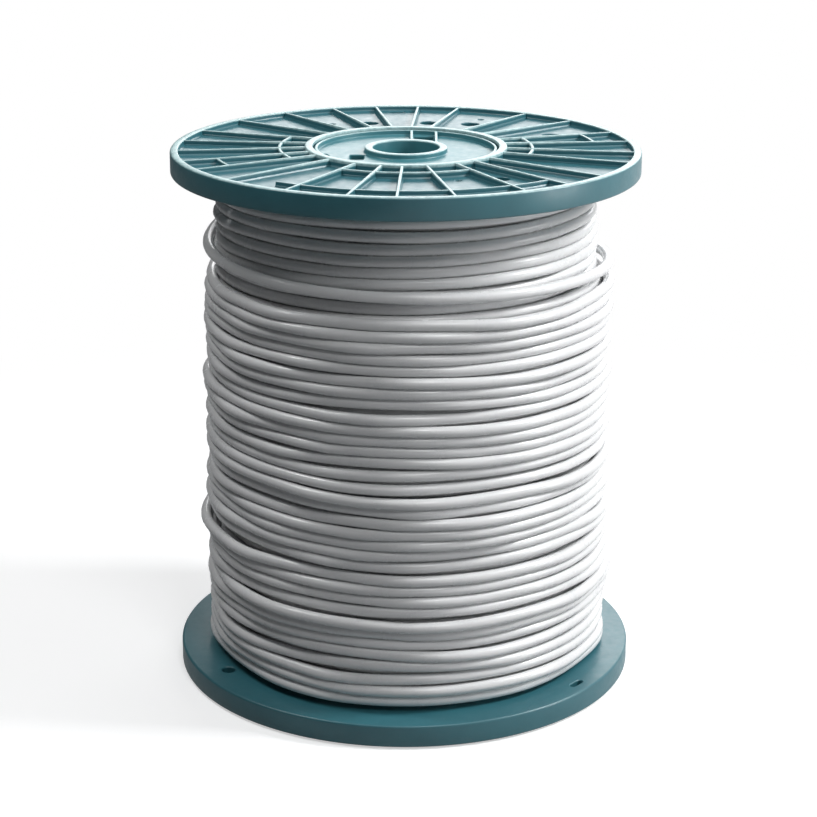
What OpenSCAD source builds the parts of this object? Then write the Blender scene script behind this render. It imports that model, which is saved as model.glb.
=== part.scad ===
// Cable spool: two ribbed flanges on a barrel, an arbor tube and a wound cable.
// Millimetres. +Z is the spool's axis, and the origin is the centre of its base.

/* [Spool] */
// Diameter of both flanges
flange_d = 290; // [284:1:400]
// Height of a flange's rim
rim_h = 14; // [12:0.5:24]
// Distance between the flanges' inner faces
winding_w = 307; // [240:1:360]

/* [Flange] */
// Radial thickness of the rim
rim_wall = 5; // [4:0.5:7]
// Radius that rounds the rim's two outer edges
rim_round = 1.5; // [0.5:0.25:1.75]
// Depth of the outer face below the rim
recess = 3.5; // [3:0.5:7]
// Height of the collar above the rim
collar_rise = 1.25; // [0.5:0.25:3]
// Wall of the collar round the hub
collar_wall = 5; // [4:0.5:8]
// Number of radial ribs
rib_count = 25; // [22:1:32]
// Thickness of a rib
rib_t = 2; // [1.5:0.25:3]
// How far the radial ribs stay below the rim and the collar
rib_drop = 0.3; // [0.2:0.1:1]
// How far the arc ribs stay below the radial ribs
arc_drop = 0.3; // [0.2:0.1:1]
// Direction of the first rib, degrees from +X
rib_phase = 9; // [0:1:14]
// Radius of the inner arc ribs
inner_arc_r = 78; // [74:1:86]
// Radius of the outer arc rib
outer_arc_r = 124.5; // [121:0.5:127]

/* [Flange holes] */
// Diameter of the two holes that take the cable's ends
tie_hole_d = 8.5; // [8:0.5:9]
// Distance from the rim's inner wall to a tie hole's centre
tie_inset = 11.5; // [9:0.5:12]
// Distance from a tie hole's centre to the short rib that closes its pocket
tie_pocket = 9.5; // [8:0.5:11]
// Diameter of the drain holes
drain_d = 12; // [8:1:14]
// Diameter of the small vent holes
vent_d = 4; // [2:0.5:6]
// Length of the slot beside the rim
rim_slot_l = 11; // [8:1:16]
// Width of the slot beside the rim
rim_slot_w = 4; // [3:0.5:6]

/* [Hub] */
// Diameter of the bore for the bar
bore_d = 41; // [36:0.5:44]
// Wall of the boss round the bore
boss_wall = 5; // [4:0.5:7]
// Outer diameter of the hub's skirt
hub_d = 114.8; // [110:0.2:118]
// Wall of the hub's skirt
skirt_wall = 3; // [2.5:0.5:4]
// Depth of the skirt inside the barrel
skirt_depth = 25; // [20:1:40]
// Depth of the hub's disc below the rim
disc_drop = 3.3; // [2:0.1:5]
// Thickness of the hub's disc
disc_t = 4; // [3:0.5:5]
// Depth of the hub's lip below the rim
lip_drop = 0.2; // [0.1:0.1:1]
// Width of the groove between the hub's lip and the collar
groove_w = 1.1; // [0.8:0.1:1.5]
// Depth of that groove below the rim
groove_depth = 5; // [4:0.5:7]
// Depth of the boss's shoulder below the flange's inner face
shoulder = 10; // [8:1:16]
// Length of the spigot that enters the arbor tube
spigot_l = 10; // [8:1:16]
// Wall of the spigot
spigot_wall = 2.5; // [2:0.25:3]
// Number of braces under the disc
brace_count = 5; // [4:1:5]
// Width of the drive window
drive_w = 9; // [6:0.5:10]
// Length of the drive window
drive_l = 15; // [10:1:17]
// Corner radius of the drive window
drive_round = 1.5; // [1:0.5:2]

/* [Barrel and arbor tube] */
// Wall of the barrel
barrel_wall = 3; // [2.5:0.5:5]
// Wall of the arbor tube
tube_wall = 3; // [2:0.5:4]

/* [Cable] */
// Diameter of the cable
cable_d = 6.8; // [5:0.1:7]
// Diameter of the whole winding
wound_d = 254; // [236:1:256]
// Loops in the outer layer
loops = 24; // [20:1:24]
// How far the slack loop stands off the winding
slack = 4; // [0:0.5:5]
// Share of the winding's width that the outer layer covers
covered = 0.8; // [0.75:0.01:0.85]
// How far in the cable lies where the outer layer doesn't cover it
under_step = 8; // [7:0.5:9]

/* [Fits] */
// Radial clearance of the hub in the collar and the barrel
hub_fit = 0.1; // [0.05:0.05:0.2]
// Radial clearance of the arbor tube on its spigots
tube_fit = 0.1; // [0.05:0.05:0.2]
// End clearance of the barrel, the arbor tube and the cable core
end_fit = 0.2; // [0.1:0.1:0.5]
// Radial clearance of the cable core on the barrel
core_fit = 0.2; // [0.1:0.1:0.5]
// Least clearance between the outer layer and the core
layer_fit = 0.1; // [0.1:0.1:0.3]

/* [Hidden] */
$fn = 96;

plastic = [0.21, 0.42, 0.46];
plastic_light = [0.29, 0.51, 0.54];
tube_colour = [0.17, 0.34, 0.38];
cable_colour = [0.86, 0.86, 0.85];
core_colour = [0.62, 0.62, 0.62];

// Overlap that fuses the features of one moulding
fuse = 0.5;
// Overshoot of a cut past a face
over = 1;

// Radii, from the axis outwards
bore_r = bore_d / 2;
boss_r = bore_r + boss_wall;
spigot_r = bore_r + spigot_wall;
tube_in_r = spigot_r + tube_fit;
hub_r = hub_d / 2;
lip_r = hub_r - groove_w;
skirt_in_r = hub_r - skirt_wall;
collar_in_r = hub_r + hub_fit;
collar_r = collar_in_r + collar_wall;
barrel_r = collar_in_r + barrel_wall;
flange_r = flange_d / 2;
rim_in_r = flange_r - rim_wall;
tie_r = rim_in_r - tie_inset;

// Heights above the base
lower_face = collar_rise + rim_h;
upper_face = lower_face + winding_w;

// Heights in a flange's own frame, where 0 is its inner face
web_t = rim_h - recess;
disc_top = rim_h - disc_drop;

// Ribs, counted from the first one. They stand unevenly, to leave room for the holes
rib_pitch = 360 / rib_count;
rib_shift = [0, -1.8, 2.2, 3.4, 9, 5.8, 3, 0.6, 0.8, 2.4, 5, 4.6, 3.2,
             1.8, -2, -2.6, 1.6, 2.6, -0.2, -1, 2, 0.1, -1.3, 1.8, 0.4];
function whole_rib_angle(k) = rib_phase + k * rib_pitch + rib_shift[(k % rib_count) % len(rib_shift)];
// A fraction is a place between two ribs
function rib_angle(k) = let (a = whole_rib_angle(floor(k)))
    a + (k - floor(k)) * (whole_rib_angle(floor(k) + 1) - a);

// Arc ribs: radius, first rib, last rib
arc_ribs = [[inner_arc_r, 10, 14], [inner_arc_r, 16, 20], [inner_arc_r, 23, 26],
            [outer_arc_r, 15.6, 21]];
// The cells between two ribs that hold a tie hole, about half a turn apart
tie_cells = [13, 0];
tie_angle = rib_angle(tie_cells[0] + 0.5);
back_tie_angle = rib_angle(tie_cells[1] + 0.5);
// The cells that hold a drain hole or a vent, and its centre's distance from the axis
drain_holes = [[1, 108], [3, 102], [4, 98], [6, 98], [20, 95]];
vent_holes = [[3, 120], [7, 104], [19, 88]];
// The cell that holds the slot beside the rim
slot_cell = 5;

// The lower flange is the same moulding turned over, with its first tie hole here
lower_tie_angle = 211;

// One rib's side: it rises a little from the rim to the collar
module rib_side(from_r, to_r) {
    polygon([[from_r, web_t - fuse], [to_r, web_t - fuse],
             [to_r, rib_top(to_r)], [from_r, rib_top(from_r)]]);
}
function rib_top(r) = rim_h - rib_drop + collar_rise * (rim_in_r - r) / (rim_in_r - collar_r);

module radial_rib(k) {
    rotate([0, 0, rib_angle(k)]) rotate([90, 0, 0])
        linear_extrude(rib_t, center = true) rib_side(collar_r - fuse, rim_in_r + fuse);
}

// A rib on an arc round the axis, from one radial rib to another
module arc_rib(r, first, last) {
    rotate([0, 0, rib_angle(first)]) rotate_extrude(angle = rib_angle(last) - rib_angle(first))
        translate([r - rib_t / 2, web_t - fuse]) square([rib_t, rib_top(r) - arc_drop - web_t + fuse]);
}

// Rim with rounded outer edges
module rim_profile() {
    translate([rim_in_r, 0]) square([rim_wall - rim_round, rim_h]);
    translate([rim_in_r, rim_round]) square([rim_wall, rim_h - 2 * rim_round]);
    for (z = [rim_round, rim_h - rim_round])
        translate([flange_r - rim_round, z]) circle(rim_round);
}

module flange_body() {
    rotate_extrude() {
        rim_profile();
        translate([collar_in_r, 0]) square([rim_in_r - collar_in_r + fuse, web_t]);
        translate([collar_in_r, 0]) square([collar_wall, rim_h + collar_rise]);
    }
    for (k = [0 : rib_count - 1]) radial_rib(k);
    for (arc = arc_ribs) arc_rib(arc[0], arc[1], arc[2]);
    for (k = tie_cells) arc_rib(tie_r - tie_pocket, k, k + 1);
}

module web_hole(angle, r, d) {
    rotate([0, 0, angle]) translate([r, 0, -over]) cylinder(d = d, h = web_t + 2 * over);
}

// A slot across the web whose length runs round the axis
module rim_slot(angle) {
    rotate([0, 0, angle]) translate([rim_in_r - rim_slot_w, 0, -over]) linear_extrude(web_t + 2 * over) {
        square([rim_slot_w, rim_slot_l - rim_slot_w], center = true);
        for (side = [-1, 1])
            translate([0, side * (rim_slot_l - rim_slot_w) / 2]) circle(d = rim_slot_w);
    }
}

// A whole flange, outer face up
module flange() {
    difference() {
        flange_body();
        for (k = tie_cells) web_hole(rib_angle(k + 0.5), tie_r, tie_hole_d);
        for (h = drain_holes) web_hole(rib_angle(h[0] + 0.5), h[1], drain_d);
        for (h = vent_holes) web_hole(rib_angle(h[0] + 0.5), h[1], vent_d);
        rim_slot(rib_angle(slot_cell + 0.5));
    }
}

// Two short ribs beside the boss, with a window between them
short_rib_x = [3.5, 19];
// The window at the disc's edge
edge_window_angle = 200;
edge_window_l = 22;
edge_window_w = 5;
// Centre of the drive window
drive_at = [-30, -17];
// Direction of the first brace, clear of the windows
brace_phase = 30;

module hub_profile() {
    // Skirt, lip and disc
    translate([skirt_in_r, -skirt_depth]) square([skirt_wall, skirt_depth + rim_h - groove_depth]);
    translate([skirt_in_r, 0]) square([lip_r - skirt_in_r, rim_h - lip_drop]);
    translate([boss_r - fuse, disc_top - disc_t]) square([skirt_in_r - boss_r + 2 * fuse, disc_t]);
    // Boss and spigot
    translate([bore_r, -shoulder]) square([boss_wall, shoulder + rim_h]);
    translate([bore_r, -shoulder - spigot_l]) square([spigot_wall, spigot_l + fuse]);
}

module brace(angle) {
    rotate([0, 0, angle]) translate([boss_r - fuse, -rib_t / 2, fuse - shoulder])
        cube([skirt_in_r - boss_r + 2 * fuse, rib_t, shoulder + disc_top - disc_t]);
}

// A short rib along Y, from the boss to the lip
module short_rib(x) {
    from_y = sqrt(boss_r * boss_r - x * x) - fuse;
    to_y = sqrt(skirt_in_r * skirt_in_r - x * x) + fuse;
    translate([x - rib_t / 2, from_y, disc_top - fuse]) cube([rib_t, to_y - from_y, disc_drop + fuse - lip_drop]);
}

module drive_window() {
    translate([drive_at[0], drive_at[1], disc_top - disc_t - over]) linear_extrude(disc_t + 2 * over) {
        square([drive_w - 2 * drive_round, drive_l], center = true);
        square([drive_w, drive_l - 2 * drive_round], center = true);
        for (sx = [-1, 1], sy = [-1, 1])
            translate([sx * (drive_w / 2 - drive_round), sy * (drive_l / 2 - drive_round)]) circle(drive_round);
    }
}

// The hub: skirt, disc and boss in one moulding, outer face up
module hub() {
    rib_gap = short_rib_x[1] - short_rib_x[0] - rib_t;
    difference() {
        union() {
            rotate_extrude() hub_profile();
            for (k = [0 : brace_count - 1]) brace(brace_phase + k * 360 / brace_count);
            for (x = short_rib_x) short_rib(x);
        }
        drive_window();
        // The window between the short ribs
        translate([short_rib_x[0] + rib_t / 2, boss_r + over, disc_top - disc_t - over])
            cube([rib_gap, skirt_in_r - boss_r - 6 * over, disc_t + 2 * over]);
        // The window at the disc's edge
        rotate([0, 0, edge_window_angle])
            translate([skirt_in_r - edge_window_w - over, -edge_window_l / 2, disc_top - disc_t - over])
                cube([edge_window_w, edge_window_l, disc_t + 2 * over]);
    }
}

// Places a moulding on the upper end
module at_top() { translate([0, 0, upper_face]) children(); }
// Places the same moulding on the lower end, turned over
module at_bottom() {
    translate([0, 0, lower_face]) rotate([0, 0, lower_tie_angle + tie_angle]) rotate([180, 0, 0]) children();
}

module bottom_flange() { color(plastic) at_bottom() flange(); }
module top_flange() { color(plastic) at_top() flange(); }
module bottom_hub() { color(plastic_light) at_bottom() hub(); }
module top_hub() { color(plastic_light) at_top() hub(); }

module pipe(in_r, out_r, from_z, to_z) {
    translate([0, 0, from_z]) difference() {
        cylinder(r = out_r, h = to_z - from_z);
        translate([0, 0, -over]) cylinder(r = in_r, h = to_z - from_z + 2 * over);
    }
}

module barrel() {
    color(plastic) pipe(collar_in_r, barrel_r, lower_face + end_fit / 2, upper_face - end_fit / 2);
}

module arbor_tube() {
    color(tube_colour) pipe(tube_in_r, tube_in_r + tube_wall,
                            lower_face + shoulder + end_fit / 2, upper_face - shoulder - end_fit / 2);
}

// The cable's inner layers, as one core under the outer layer
layer_r = (wound_d - cable_d) / 2;
core_r = layer_r - cable_d / 2 - layer_fit;
under_r = core_r - under_step;
step_z = lower_face + covered * winding_w;
core_z = [lower_face + end_fit, upper_face - end_fit];
module cable_pack() {
    color(core_colour) difference() {
        union() {
            translate([0, 0, core_z[0]]) cylinder(r = core_r, h = step_z - core_z[0]);
            translate([0, 0, core_z[0]]) cylinder(r = under_r, h = core_z[1] - core_z[0]);
        }
        translate([0, 0, core_z[0] - over])
            cylinder(r = barrel_r + core_fit, h = core_z[1] - core_z[0] + 2 * over);
    }
}

// The outer layer is one helix whose ends go into a tie hole of each flange
rings = 24;
sides = 6;
// Distance from a flange's face to the first turn
edge_gap = 0.6;
// Bend of the cable's end, and how far it stands out of the tie hole before it bends
end_bend = 7;
end_rise = 2;
// Share of a loop over which the end settles into the layer
settle = 0.14;
start_angle = lower_tie_angle + tie_angle - back_tie_angle - 360;
end_angle = back_tie_angle;
turns = loops + (end_angle - start_angle) / 360;
// The turns' path, as chords whose middles lie at the layer's radius
path_r = layer_r / cos(180 / rings);
first_z = lower_face + cable_d / 2 + edge_gap;
last_z = upper_face - cable_d / 2 - edge_gap;
bend_lift = end_rise + end_bend - cable_d / 2 - edge_gap;

function settled(t) = t < settle ? (1 + cos(180 * t / settle)) / 2 : 0;
// Uneven spacing of the turns, which fades towards the flanges
function unevenness(t) = min(1, t / 2, (turns - t) / 2);
function wander(t) = 1.3 * sin(360 * 2.37 * t) + 0.9 * sin(360 * 0.61 * t + 40);
function bulge(t) = 0.6 * (1 + sin(360 * 1.73 * t));
// The slack loop is the outer layer's last one, and past it the turns lie further in
loop_rise = (last_z - first_z) / turns;
slack_at = (step_z + cable_d / 2 - first_z) / loop_rise + 0.2;
slack_span = 0.7;
step_span = 0.3;
function slack_off(t) =
    abs(t - slack_at) < slack_span ? slack * (1 + cos(180 * (t - slack_at) / slack_span)) / 2 : 0;
function past_slack(t) = max(0, min(1, (t - slack_at - slack_span) / step_span));
function turn_depth(t) = under_step * (1 - cos(180 * past_slack(t))) / 2;

function turn_r(t) = path_r + unevenness(t) * bulge(t) + slack_off(t) - turn_depth(t)
    + (tie_r - path_r) * settled(t) + (tie_r - path_r + under_step) * settled(turns - t);
function turn_z(t) = first_z + loop_rise * t + unevenness(t) * wander(t)
    + bend_lift * (settled(t) - settled(turns - t));
function polar(r, a, z) = [r * cos(a), r * sin(a), z];
function along(r, a, step, z) = polar(r, a, z) + step * [-sin(a), cos(a), 0];

// A quarter bend from the tie hole's direction to the turn's
bend_steps = 4;
hole_z = [lower_face - cable_d, upper_face + cable_d];
lower_end = concat(
    [polar(tie_r, start_angle, hole_z[0]), polar(tie_r, start_angle, lower_face + end_rise)],
    [for (k = [1 : bend_steps - 1]) let (b = 90 * k / bend_steps)
        along(tie_r, start_angle, end_bend * (1 - cos(b)), lower_face + end_rise + end_bend * sin(b))]);
upper_end = concat(
    [for (k = [bend_steps - 1 : -1 : 1]) let (b = 90 * k / bend_steps)
        along(tie_r, end_angle, -end_bend * (1 - cos(b)), upper_face - end_rise - end_bend * sin(b))],
    [polar(tie_r, end_angle, upper_face - end_rise), polar(tie_r, end_angle, hole_z[1])]);
// The turns start and stop one bend away from the tie holes
skip = end_bend / (2 * PI * tie_r);
steps = round((turns - 2 * skip) * rings);
helix = [for (i = [0 : steps]) let (t = skip + (turns - 2 * skip) * i / steps)
    polar(turn_r(t), start_angle + 360 * t, turn_z(t))];
cable_path = concat(lower_end, helix, upper_end);

function unit(v) = v / norm(v);
// One ring of the tube, square to the path, with a corner that points at the axis
function ring_points(path, i) =
    let (last = len(path) - 1,
         ahead = unit(path[min(i + 1, last)] - path[max(i - 1, 0)]),
         out = unit([path[i][0], path[i][1], 0]),
         side = unit(cross(ahead, out)),
         up = cross(side, ahead))
    [for (s = [0 : sides - 1]) path[i] + cable_d / 2 * (cos(360 * s / sides) * up + sin(360 * s / sides) * side)];

module swept_tube(path) {
    last = len(path) - 1;
    points = [for (i = [0 : last]) each ring_points(path, i)];
    polyhedron(points, concat(
        [[for (s = [sides - 1 : -1 : 0]) s]],
        [for (i = [0 : last - 1], s = [0 : sides - 1])
            each let (a = i * sides + s, b = i * sides + (s + 1) % sides)
                [[a, b, b + sides], [a, b + sides, a + sides]]],
        [[for (s = [0 : sides - 1]) last * sides + s]]));
}

module cable_outer_layer() { color(cable_colour) swept_tube(cable_path); }

// Least gap of the cable to itself, from each point to the next loop's stretches
function to_stretch(p, a, b) = let (k = max(0, min(1, (p - a) * (b - a) / ((b - a) * (b - a)))))
    norm(p - a - k * (b - a));
near = round(rings * 0.6);
self_gap = min([for (i = [0 : len(cable_path) - near - 2])
    min([for (j = [i + near : min(i + 2 * rings - near, len(cable_path) - 2)])
        to_stretch(cable_path[i], cable_path[j], cable_path[j + 1])])]) - cable_d;
echo("least gap of the cable to itself, mm", self_gap);

bottom_flange();
top_flange();
bottom_hub();
top_hub();
barrel();
arbor_tube();
cable_pack();
cable_outer_layer();
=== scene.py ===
"""Cable spool: two ribbed plastic flanges with hubs on a barrel, wound with white sheathed cable.

The scene is in metres and +Z is the spool's axis. The classes hold millimetres, which MM turns into metres.
"""

import itertools
import logging
import math
from dataclasses import dataclass, field
from enum import Enum

import bpy
import numpy as np
from mathutils import Matrix, Vector

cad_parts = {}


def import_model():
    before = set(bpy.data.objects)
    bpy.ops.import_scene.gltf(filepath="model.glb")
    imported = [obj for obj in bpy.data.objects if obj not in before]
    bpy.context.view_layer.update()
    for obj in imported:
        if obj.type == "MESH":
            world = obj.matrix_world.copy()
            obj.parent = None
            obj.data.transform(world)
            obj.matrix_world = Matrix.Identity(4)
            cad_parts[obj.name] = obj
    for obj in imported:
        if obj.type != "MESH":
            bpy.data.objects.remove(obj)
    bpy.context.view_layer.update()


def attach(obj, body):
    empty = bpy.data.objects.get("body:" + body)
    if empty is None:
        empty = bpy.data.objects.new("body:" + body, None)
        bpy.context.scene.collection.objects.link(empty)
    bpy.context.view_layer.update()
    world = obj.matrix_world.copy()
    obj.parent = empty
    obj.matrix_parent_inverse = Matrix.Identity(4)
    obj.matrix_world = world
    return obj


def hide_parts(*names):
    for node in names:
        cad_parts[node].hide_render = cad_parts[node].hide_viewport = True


MM = 0.001
# Heights of the flanges' faces on the winding's side, in millimetres
LOWER_FACE = 15.25
UPPER_FACE = 322.25
BODY = "root"
LOG = logging.getLogger("spool")

Object = bpy.types.Object
Material = bpy.types.Material
Socket = bpy.types.NodeSocket
Array = np.ndarray
Point = tuple[float, float]
Triple = tuple[float, float, float]
Values = dict[str | int, object]


class Slot(Enum):
    """Material slot names, kept on each moulding."""

    FLANGE = "flange_plastic"
    HUB = "hub_plastic"
    BARREL = "barrel_plastic"
    CABLE = "cable_sheath"


# ---- nodes


def add_node(
    tree: bpy.types.NodeTree, kind: str, settings: Values | None = None, inputs: Values | None = None
) -> bpy.types.Node:
    """Adds one node to a shader or geometry tree.

    Args:
        tree: The tree that gets the node.
        kind: The node's type name.
        settings: The node's own settings by name.
        inputs: Values, sockets or lists of sockets by input name or index.

    Returns:
        The new node.
    """
    node = tree.nodes.new(kind)
    for name, value in (settings or {}).items():
        setattr(node, name, value)
    for key, value in (inputs or {}).items():
        socket = node.inputs[key]
        if isinstance(value, Socket):
            tree.links.new(value, socket)
        elif isinstance(value, list):
            for each in value:
                tree.links.new(each, socket)
        else:
            socket.default_value = value
    return node


def linear(code: str) -> tuple[float, float, float, float]:
    """The linear RGBA colour of an sRGB hex code such as "2f6a73"."""
    parts = [int(code[i : i + 2], 16) / 255 for i in (0, 2, 4)]
    return (*[p / 12.92 if p <= 0.04045 else ((p + 0.055) / 1.055) ** 2.4 for p in parts], 1.0)


def smooth_step(share: Array) -> Array:
    """Eases shares in and out, and holds them between 0 and 1."""
    share = np.clip(share, 0, 1)
    return share * share * (3 - 2 * share)


class Tree:
    """A node tree, with short methods for the nodes that are used most."""

    def __init__(self, tree: bpy.types.NodeTree) -> None:
        """Takes the tree."""
        self.tree = tree

    def node(
        self, kind: str, settings: Values | None = None, inputs: Values | None = None, output: str | int = 0
    ) -> Socket:
        """Adds a node as add_node does, and gives one of its outputs."""
        return add_node(self.tree, kind, settings, inputs).outputs[output]

    def maths(self, operation: str, a: object, b: object = 0.0) -> Socket:
        """The result of one sum on one or two numbers or sockets."""
        return self.node("ShaderNodeMath", {"operation": operation}, {0: a, 1: b})

    def part(self, vector: Socket, axis: str) -> Socket:
        """One coordinate of a vector."""
        return self.node("ShaderNodeSeparateXYZ", inputs={0: vector}, output=axis)


class ShaderTree(Tree):
    """The shader tree of a material or world."""

    def __init__(self, owner: Material | bpy.types.World) -> None:
        """Empties the owner's tree."""
        owner.use_nodes = True
        super().__init__(owner.node_tree)
        self.tree.nodes.clear()

    def place(self, output: str = "Object") -> Socket:
        """A texture coordinate."""
        return self.node("ShaderNodeTexCoord", output=output)

    def noise(self, place: Socket, size_mm: float, detail: float, roughness: float = 0.5) -> Socket:
        """Noise with features of a size in millimetres."""
        inputs = {"Vector": place, "Scale": 1 / (size_mm * MM), "Detail": detail, "Roughness": roughness}
        return self.node("ShaderNodeTexNoise", inputs=inputs, output="Fac")

    def mapped(
        self, value: Socket, span: Point, ends: tuple[object, object] = (0.0, 1.0), smooth: bool = False
    ) -> Socket:
        """Maps a value's span to a new pair of ends, and holds it there outside the span."""
        kind = "SMOOTHSTEP" if smooth else "LINEAR"
        inputs = {"Value": value, "From Min": span[0], "From Max": span[1], "To Min": ends[0], "To Max": ends[1]}
        return self.node("ShaderNodeMapRange", {"interpolation_type": kind}, inputs)

    def mixed(self, share: Socket, first: Socket | str, second: Socket | str) -> Socket:
        """Mixes two colours, each a socket or an sRGB hex code."""
        colours = [linear(c) if isinstance(c, str) else c for c in (first, second)]
        return self.node("ShaderNodeMix", {"data_type": "RGBA"}, {0: share, 6: colours[0], 7: colours[1]}, 2)

    def bump(self, height: Socket, strength: float, depth_mm: float, normal: Socket | None = None) -> Socket:
        """A normal bent by a height, on top of another where one is given."""
        inputs = {"Height": height, "Strength": strength, "Distance": depth_mm * MM}
        return self.node("ShaderNodeBump", inputs=inputs | ({"Normal": normal} if normal else {}))

    def end(self, surface: Socket, kind: str = "ShaderNodeOutputMaterial") -> None:
        """Ends the tree in its surface."""
        add_node(self.tree, kind, inputs={"Surface": surface})


# ---- finishes


@dataclass(frozen=True)
class Finish:
    """A node-based finish on a Principled surface."""

    name: str

    def build(self) -> Material:
        """Makes the material."""
        material = bpy.data.materials.new(self.name)
        tree = ShaderTree(material)
        tree.end(tree.node("ShaderNodeBsdfPrincipled", inputs=self.surface(tree, tree.place())))
        return material


@dataclass(frozen=True)
class MouldedPolystyrene(Finish):
    """Moulded high-impact polystyrene: satin, a little cloudy, and pale on its outer edges from wear and a painted
    highlight.
    """

    colour: str = "37717b"
    cloud: str = "2a5f6a"
    # Pale colour of the edges: wear, and also a painted highlight on the rib and rim tops
    wear_and_highlight: str = "b4d2d3"
    roughness: Point = (0.3, 0.44)
    cloud_mm: float = 22.0
    grain_mm: float = 0.7
    wave_mm: float = 16.0
    scuff_mm: float = 5.0
    # The pale edge, wear and a painted highlight: where it starts below the spool's end, and how far it fades
    wear_and_highlight_mm: float = 2.2
    wear_and_highlight_fade_mm: float = 0.9
    half_height_mm: float = 168.75
    ior: float = 1.58

    def surface(self, tree: ShaderTree, place: Socket) -> Values:
        """The surface's inputs.

        Args:
            tree: The material's tree.
            place: Object coordinates.

        Returns:
            Sockets and values by name.
        """
        # Pigment that flowed unevenly into the mould
        cloudy = tree.mixed(tree.noise(place, self.cloud_mm, 5.0, 0.62), self.cloud, self.colour)
        # The outermost edges at both ends are paler: partly wear from floors and other spools, partly a painted
        # highlight on the rib and rim tops
        from_middle = tree.maths("SUBTRACT", tree.part(place, "Z"), self.half_height_mm * MM)
        start = self.half_height_mm - self.wear_and_highlight_mm
        span = (start * MM, (start + self.wear_and_highlight_fade_mm) * MM)
        edge = tree.mapped(tree.maths("ABSOLUTE", from_middle), span, smooth=True)
        scuff = tree.noise(place, self.scuff_mm, 6.0, 0.7)
        patchy = tree.mapped(scuff, (0.28, 0.62), (0.35, 1.0))
        # Painted highlight and wear: the edge mask lightens the tops of the ribs and rims
        wear_and_highlight_colour = tree.mixed(tree.maths("MULTIPLY", edge, patchy), cloudy, self.wear_and_highlight)
        gloss = tree.mapped(scuff, (0.3, 0.7), self.roughness)
        # Mould grain, drawn about as coarse as shows, on the slow waves of a moulded wall
        coarse = tree.bump(tree.noise(place, self.wave_mm, 1.0), 0.5, 0.35)
        fine = tree.bump(tree.noise(place, self.grain_mm, 2.0), 0.35, 0.05, coarse)
        return {"Base Color": wear_and_highlight_colour, "Roughness": gloss, "Normal": fine, "IOR": self.ior}


@dataclass(frozen=True)
class ExtrudedSheath(Finish):
    """Extruded white PVC cable sheath: smooth and semi-gloss, with faint orange peel and handling marks."""

    colour: str = "e6e7e8"
    marked: str = "d2d4d6"
    roughness: Point = (0.2, 0.32)
    peel_mm: float = 2.2
    mark_mm: float = 14.0
    ior: float = 1.53

    def surface(self, tree: ShaderTree, place: Socket) -> Values:
        """The surface's inputs.

        Args:
            tree: The material's tree.
            place: Object coordinates.

        Returns:
            Sockets and values by name.
        """
        marks = tree.noise(place, self.mark_mm, 7.0, 0.66)
        soiled = tree.mapped(marks, (0.5, 0.78), (0.0, 0.8))
        gloss = tree.mapped(marks, (0.35, 0.7), self.roughness)
        # Faint orange peel from the extruder's die
        peel = tree.bump(tree.noise(place, self.peel_mm, 2.0), 0.4, 0.12)
        colour = tree.mixed(soiled, self.colour, self.marked)
        return {"Base Color": colour, "Roughness": gloss, "Normal": peel, "IOR": self.ior}


# ---- meshes


def polar(radius: object, degrees: object, height: object = 0.0) -> Array:
    """Points at radii, angles in degrees and heights, each of them a number or an array."""
    turned = np.radians(degrees)
    return np.stack(np.broadcast_arrays(radius * np.cos(turned), radius * np.sin(turned), height), axis=-1)


def add_object(name: str, data: bpy.types.ID) -> Object:
    """Puts a mesh, a light or a camera in the scene."""
    added = bpy.data.objects.new(name, data)
    bpy.context.scene.collection.objects.link(added)
    return added


def apply_modifiers(piece: Object) -> None:
    """Replaces a piece's mesh with what its modifiers make of it."""
    graph = bpy.context.evaluated_depsgraph_get()
    mesh = bpy.data.meshes.new_from_object(piece.evaluated_get(graph))
    piece.modifiers.clear()
    piece.data = mesh


def new_object(name: str, points: Array, faces: list[list[int]], edges: list[tuple[int, int]] = ()) -> Object:
    """Makes a mesh object.

    Args:
        name: The object's name.
        points: Points in metres, one per row.
        faces: Lists of point numbers.
        edges: Pairs of point numbers, where there are no faces.

    Returns:
        The object.
    """
    mesh = bpy.data.meshes.new(name)
    mesh.from_pydata(points.tolist(), edges, faces)
    mesh.update()
    return add_object(name, mesh)


def rounded(corners: list[Triple], steps: int = 4) -> list[Point]:
    """Rounds a closed polygon's corners.

    Args:
        corners: Each corner as its two coordinates and its radius.
        steps: Parts of each arc.

    Returns:
        The outline's points, in the same direction.
    """
    outline: list[Point] = []
    for i, (x, y, radius) in enumerate(corners):
        here = Vector((x, y))
        before = Vector(corners[i - 1][:2]) - here
        after = Vector(corners[(i + 1) % len(corners)][:2]) - here
        half = before.angle(after) / 2
        back = radius / math.tan(half)
        start = here + before.normalized() * back
        stop = here + after.normalized() * back
        centre = here + (before.normalized() + after.normalized()).normalized() * (radius / math.sin(half))
        sweep = (start - centre).angle_signed(stop - centre)
        for k in range(steps + 1):
            outline.append(tuple(centre + Matrix.Rotation(-sweep * k / steps, 2) @ (start - centre)))
    return outline


def lathed(name: str, outline: list[Point], segments: int) -> Object:
    """Turns a closed outline round the axis.

    Args:
        name: The object's name.
        outline: Radius and height in millimetres, counterclockwise.
        segments: Steps round the axis.

    Returns:
        A closed ring.
    """
    radii, heights = (np.array(outline) * MM).T
    points = polar(radii, np.arange(segments)[:, None] * 360 / segments, heights).reshape(-1, 3)
    count = len(outline)
    faces = []
    for here, j in itertools.product(range(0, segments * count, count), range(count)):
        there, after = (here + count) % (segments * count), (j + 1) % count
        faces.append([here + j, there + j, there + after, here + after])
    return new_object(name, points, faces)


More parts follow.
